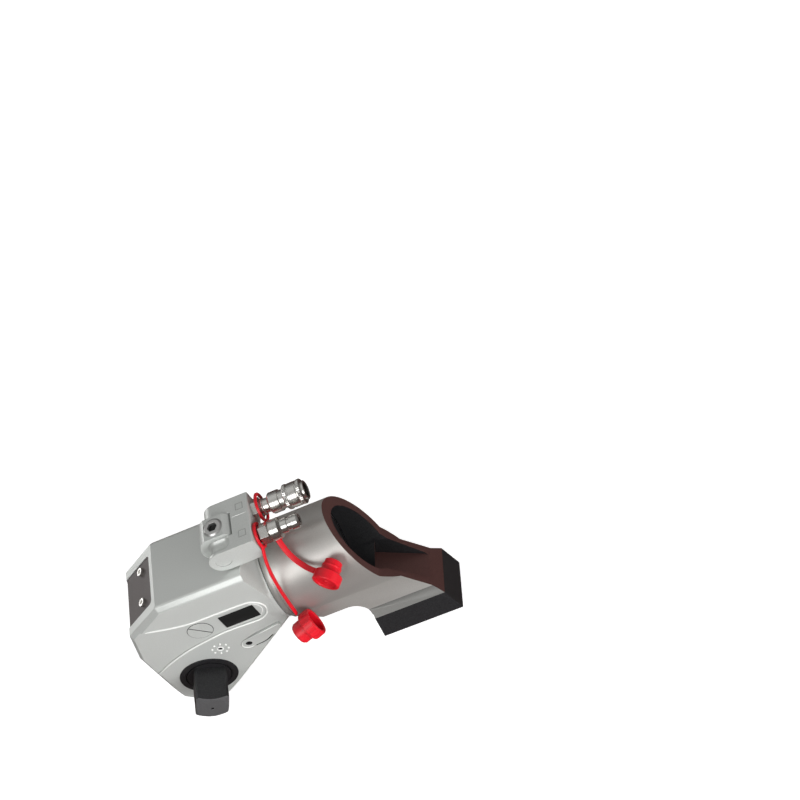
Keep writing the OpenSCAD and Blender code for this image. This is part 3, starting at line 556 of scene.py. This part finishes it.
# Painted highlight: a pale collar ring round the index screw
screw_x = 0.036
screw_z = 0.041
collar_y = side_y + 0.001
flat_ring("index_screw_collar", (screw_x, collar_y, screw_z), outward, inner=0.0027, outer=0.0042,
          height=0.0015, finish=highlight_paint, body="frame")

# Release lever: a flat cast lever in a pocket of the side face, keyed to the shaft of the holding
# pawl. It is painted with the housing, a pale finger rib and the rim of its boss are painted highlights,
# a black line under the finger is a painted shadow, and the shaft's end is left black.
rim_r = 0.0007
rim_run_out = 0.5
shadow_line_r = 0.0005
lever = softened("release_lever", "release_lever_casting", radius=0.0006, body="lever")
dress(lever, silver_paint)
dress(frame_nodes["lever_shaft"], black_oxide)
# Painted highlights: the finger rib and the boss rim are pale lines
finger_points = [(0.087, side_y, 0.0420), (0.099, side_y, 0.0442), (0.1125, side_y, 0.0462)]
finger_rib = rounded_rod("lever_finger_rib", finger_points, rim_r, end_taper=rim_run_out)
boss_points = [(0.0618, side_y, 0.0362), (0.0597, side_y, 0.0312), (0.0612, side_y, 0.0262),
               (0.0655, side_y, 0.0232), (0.0710, side_y, 0.0232)]
boss_rim = rounded_rod("lever_boss_rim", boss_points, rim_r, end_taper=rim_run_out)
for rim in (finger_rib, boss_rim):
    dress(rim, highlight_paint)
    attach(rim, "lever")
# Painted shadow: a black line under the lever's finger
shadow_points = [(0.0735, side_y, 0.0229), (0.081, side_y, 0.0237), (0.0882, side_y, 0.0252),
                (0.0985, side_y, 0.0312)]
shadow_line = rounded_rod("lever_shadow_line", shadow_points, shadow_line_r)
dress(shadow_line, plate_black)
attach(shadow_line, "lever")

# Front cover: a steel plate bent over the brow and let into the housing, phosphate grey, over the
# access hole to the pawl. Two plated button screws hold it.
phosphate = finish_of("phosphate", (0.100, 0.087, 0.084),
                      metallic=0.3, roughness=0.5, grain=1100, spread=0.2)
cover = softened("front_cover", "front_cover_plate", radius=0.0006, body="frame")
dress(cover, phosphate)
nickel_plate = finish_of("nickel_plate", (0.74, 0.73, 0.70),
                         metallic=1.0, roughness=0.25, grain=800, spread=0.04, rub=0.04, relief=0.00001)
cover_screws = softened("cover_screws", "cover_button_screws", radius=0.0007, body="frame", segments=4)
dress(cover_screws, nickel_plate)

# Swivel: a milled clevis carries both ports and tilts on a post, which turns on the top face under
# one shouldered bolt. The clevis and the post are alloy, painted with the housing, and the clevis has
# a plain frame over each port with a pale seam line between them as a painted highlight.
post_x = 0.108
pin_z = 0.168
pin_end_y = 0.0333
clevis_top_z = 0.184
shaded_paint = finish_of("shaded_paint", (0.36, 0.37, 0.36),
                         metallic=0.3, roughness=0.5, grain=1400, spread=0.06)
for node, name, radius, body in (
    ("swivel_block", "swivel_clevis", 0.0012, "manifold"),
    ("swivel_post", "swivel_post_head", 0.0007, "post"),
    ("swivel_pins", "swivel_pin_plugs", 0.0004, "manifold"),
):
    piece = softened(node, name, radius, body)
    dress(piece, silver_paint)
mark_x = 0.140
mark_width = 0.0088
mark_line = 0.0006
mark_height = 0.0005
mark_sunk = 0.0002
bpy.ops.object.select_all(action="DESELECT")
bpy.ops.mesh.primitive_plane_add(size=mark_width, location=(mark_x, 0, clevis_top_z - mark_sunk))
far_mark = bpy.context.object
far_mark.name = "port_mark_far"
bpy.ops.object.mode_set(mode="EDIT")
bpy.ops.mesh.inset(thickness=mark_line)
bpy.ops.mesh.delete(type="FACE")
bpy.ops.mesh.select_all(action="SELECT")
bpy.ops.mesh.extrude_region_move(TRANSFORM_OT_translate={"value": (0, 0, mark_height)})
bpy.ops.object.mode_set(mode="OBJECT")
bpy.ops.object.transform_apply()
closed_up(far_mark)
near_mark = copied(far_mark, "port_mark_near")
for mark, mark_y in ((far_mark, 0.0183), (near_mark, -0.0188)):
    take_up(mark)
    mark.location.y = mark_y
    bpy.ops.object.transform_apply()
    dress(mark, shaded_paint)
    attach(mark, "manifold")
# Painted highlight: a pale line along the clevis top between the port frames
seam_y = 0.0072
seam_r = 0.0004
seam_points = [(x, seam_y, clevis_top_z) for x in (0.1295, 0.138, 0.148)]
seam = rounded_rod("clevis_seam", seam_points, seam_r, end_taper=0.5)
dress(seam, highlight_paint)
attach(seam, "manifold")
bright_steel = finish_of("bright_steel", (0.62, 0.62, 0.61),
                         metallic=0.9, roughness=0.36, grain=700, spread=0.06)
bolt = softened("post_bolt", "swivel_bolt", radius=0.0004, body="frame")
dress(bolt, bright_steel)
# Painted shade: a black hex floor down in the bolt's socket
socket_place = (post_x, 0, 0.1853)
socket_r = 0.0059
socket_depth = 0.0026
bpy.ops.object.select_all(action="DESELECT")
bpy.ops.mesh.primitive_cylinder_add(vertices=6, radius=socket_r, depth=socket_depth, location=socket_place)
socket_shade_floor = bpy.context.object
socket_shade_floor.name = "swivel_bolt_socket"
bpy.ops.object.transform_apply()
nip = socket_shade_floor.modifiers.new("nip", "BEVEL")
nip.width = 0.0003
bpy.ops.object.modifier_apply(modifier="nip")
dress(socket_shade_floor, plate_black)
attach(socket_shade_floor, "frame")
for line_name, side in (("pin_plug_line_near", -1), ("pin_plug_line_far", 1)):
    flat_ring(line_name, (post_x, side * pin_end_y, pin_z), (0, side, 0), inner=0.0089, outer=0.0095,
              height=0.0006, finish=shaded_paint, body="manifold")

# Port fittings: turned and milled steel nipples, bright nickel plated, screwed into the clevis. One
# carries a male coupler, the other a female one, whose sliding sleeve has two knurled bands.
for node, name, radius, body in (
    ("port_nipple_far", "port_nipple_far_hex", 0.0005, "manifold"),
    ("port_nipple_near", "port_nipple_near_hex", 0.0005, "manifold"),
    ("female_coupler", "female_coupler_body", 0.0005, "manifold"),
    ("male_coupler", "male_coupler_body", 0.0004, "manifold"),
    ("coupler_sleeve", "coupler_sleeve_ring", 0.0004, "sleeve"),
):
    piece = softened(node, name, radius, body)
    dress(piece, nickel_plate)

coupler_y = 0.018
coupler_z = 0.168
knurl_points = 84
knurl_r = 0.01465
knurl_width = 0.0032
knurl_root = 0.972
bpy.ops.object.select_all(action="DESELECT")
bpy.ops.mesh.primitive_cylinder_add(vertices=knurl_points, radius=knurl_r, depth=knurl_width,
                                    end_fill_type="NOTHING")
back_knurl = bpy.context.object
back_knurl.name = "sleeve_knurl_back"
bpy.ops.object.mode_set(mode="EDIT")
bpy.ops.mesh.select_mode(type="VERT")
bpy.ops.mesh.select_all(action="DESELECT")
bpy.ops.object.mode_set(mode="OBJECT")
for vertex in back_knurl.data.vertices:
    step = round(math.atan2(vertex.co.y, vertex.co.x) * knurl_points / math.tau)
    vertex.select = step % 2 == 0
bpy.ops.object.mode_set(mode="EDIT")
bpy.ops.transform.resize(value=(knurl_root, knurl_root, 1), center_override=(0, 0, 0))
bpy.ops.object.mode_set(mode="OBJECT")
wall = back_knurl.modifiers.new("wall", "SOLIDIFY")
wall.thickness = 0.0005
bpy.ops.object.modifier_apply(modifier="wall")
front_knurl = copied(back_knurl, "sleeve_knurl_front")
for knurl, knurl_x in ((back_knurl, 0.1928), (front_knurl, 0.2094)):
    set_down(knurl, (knurl_x, coupler_y, coupler_z), (1, 0, 0))
    dress(knurl, nickel_plate)
    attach(knurl, "sleeve")

# Dust plug and dust cap: soft red PVC, each moulded in one with its strap and the tether ring that is
# pushed over a nipple. The plug has a shallow dish in its face, and the cap is hollow with grip ribs.
red_pvc = finish_of("red_pvc", (0.56, 0.004, 0.013),
                    metallic=0.0, roughness=0.36, grain=900, spread=0.08, rub=0.05)


def one_moulding(name, parts, node):
    """Joins the parts of one moulding, which stands for its CAD node."""
    bpy.ops.object.select_all(action="DESELECT")
    for part in parts:
        part.select_set(True)
    bpy.context.view_layer.objects.active = parts[0]
    bpy.ops.object.join()
    moulding = bpy.context.object
    moulding.name = name
    dress(moulding, red_pvc)
    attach(moulding, "manifold")
    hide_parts(node)


def tether_ring(name, place, axis, middle):
    """A ring of nipped section about the middle radius."""
    section = [(0.0018, -0.0009), (0.0011, -0.0015), (-0.0011, -0.0015), (-0.0018, -0.0009),
               (-0.0018, 0.0009), (-0.0011, 0.0015), (0.0011, 0.0015), (0.0018, 0.0009), (0.0018, -0.0009)]
    ring = turned(name, [(middle + across, along) for across, along in section])
    set_down(ring, place, axis)
    return ring


plug_face = (0.2013, -0.0733, 0.1179)
plug_axis = (-0.5351, -0.8447, -0.0131)
plug_body = turned("plug_body", [(0, -0.0012), (0.0022, -0.0012), (0.0030, -0.0020), (0.0116, -0.0020),
                                 (0.0124, 0), (0.0148, 0), (0.0158, -0.0010), (0.0158, -0.0108),
                                 (0.0148, -0.0118), (0.0118, -0.0122), (0.0112, -0.0130), (0.0108, -0.0180),
                                 (0.0112, -0.0186), (0.0112, -0.0200), (0.0104, -0.0206), (0.0100, -0.0260),
                                 (0.0090, -0.0270), (0, -0.0270)])
set_down(plug_body, plug_face, plug_axis)
plug_strap = rounded_rod("plug_strap", [(0.1600, 0.0070, 0.1555), (0.1615, -0.0010, 0.1522),
                                        (0.1640, -0.0090, 0.1510), (0.1660, -0.0160, 0.1475),
                                        (0.1684, -0.0240, 0.1395), (0.1730, -0.0330, 0.1310),
                                        (0.1791, -0.0410, 0.1257), (0.1864, -0.0490, 0.1227),
                                        (0.1952, -0.0575, 0.1226)], 0.0011, flat=0.0022, tilt=90)
plug_ring = tether_ring("plug_ring", (0.1600, coupler_y, coupler_z), (1, 0, 0), middle=0.0156)
one_moulding("dust_plug_moulding", [plug_body, plug_strap, plug_ring], "dust_plug")

cap_mouth = (0.1637, -0.0734, 0.0596)
cap_axis = (0.9522, 0.2471, 0.1796)
cap_body = turned("cap_body", [(0, -0.0240), (0.0128, -0.0240), (0.0132, -0.0010), (0.0140, 0), (0.0160, 0),
                               (0.0168, -0.0010), (0.0168, -0.0126), (0.0160, -0.0134), (0.0124, -0.0140),
                               (0.0118, -0.0148), (0.0116, -0.0258), (0.0106, -0.0268), (0, -0.0268)])
grip_count = 16
grip_place = (0.0167, 0, -0.0068)
grip_size = (0.0010, 0.0022, 0.0105)
bpy.ops.object.select_all(action="DESELECT")
bpy.ops.mesh.primitive_cube_add(size=1, location=grip_place, scale=grip_size)
first_grip = bpy.context.object
first_grip.name = "cap_grip_0"
bpy.ops.object.transform_apply()
soft = first_grip.modifiers.new("soft", "BEVEL")
soft.width = 0.0004
soft.segments = 2
bpy.ops.object.modifier_apply(modifier="soft")
grips = [first_grip]
for k in range(1, grip_count):
    grips.append(copied(first_grip, "cap_grip_%d" % k))
for k, grip in enumerate(grips):
    take_up(grip)
    grip.rotation_euler.z = math.tau * k / grip_count
    bpy.ops.object.transform_apply()
for part in [cap_body] + grips:
    set_down(part, cap_mouth, cap_axis)
cap_strap = rounded_rod("cap_strap", [(0.1534, -0.0310, 0.1645), (0.1528, -0.0337, 0.1620),
                                      (0.1512, -0.0372, 0.1565), (0.1497, -0.0420, 0.1495),
                                      (0.1476, -0.0520, 0.1265), (0.1463, -0.0598, 0.0925),
                                      (0.1464, -0.0645, 0.0720)], 0.0013, flat=0.0014)
cap_ring = tether_ring("cap_ring", (0.1534, -coupler_y, coupler_z), (1, 0, 0), middle=0.0135)
one_moulding("dust_cap_moulding", [cap_body, cap_strap, cap_ring] + grips, "dust_cap")

# Reaction arm: a one-piece steel forging, broached inside for the splines and satin plated. Its sloped
# end is machined and coloured dark brown as a painted reflection, its mouth is painted black as shade,
# and the ledge over the pad is painted darker as shade. It slides on the barrel and is held there by a
# spring detent.
satin_plate = finish_of("satin_plate", (0.55, 0.54, 0.515),
                        metallic=0.75, roughness=0.43, grain=900, spread=0.05)
# Painted reflection: dark brown for the sloped end faces
reflection_brown = finish_of("reflection_brown", (0.13, 0.060, 0.054),
                        metallic=0.5, roughness=0.36, grain=700, spread=0.15)
# Painted shade: a darker plate colour for the ledge over the pad
shaded_ledge_plate = finish_of("shaded_ledge_plate", (0.24, 0.24, 0.23),
                       metallic=0.8, roughness=0.5, grain=900, spread=0.08)
arm = softened("reaction_arm", "reaction_arm_forging", radius=0.0008, body="arm", angle=40)
dress(arm, satin_plate)
for finish in (reflection_brown, black_oxide, shaded_ledge_plate):
    arm.data.materials.append(finish)
bore_end = 0.2165
mouth_depth = 0.03
mouth_r = 0.07
least_slope = 0.25
least_inward = 0.005
barrel_axis = Vector((0, 0, barrel_z))
for face in arm.data.polygons:
    to_axis = barrel_axis - face.center
    to_axis.x = 0
    # Sloped end faces get the painted reflection in dark brown
    if face.normal.x > least_slope:
        face.material_index = 1
    # Painted shade: inward faces inside the mouth turn black, and those of the ledge beyond it dull grey
    elif face.center.x > bore_end - mouth_depth and to_axis.dot(face.normal) > least_inward:
        face.material_index = 2 if to_axis.length < mouth_r else 3

# Reaction pad: a hardened steel block, blackened in oil, that bears on the next bolt. Two socket
# screws from below hold it to the arm's foot.
pad = softened("reaction_pad", "reaction_pad_block", radius=0.0012, body="arm")
dress(pad, black_oxide)
pad_screws = softened("pad_screws", "pad_socket_screws", radius=0.0005, body="arm")
dress(pad_screws, black_oxide)
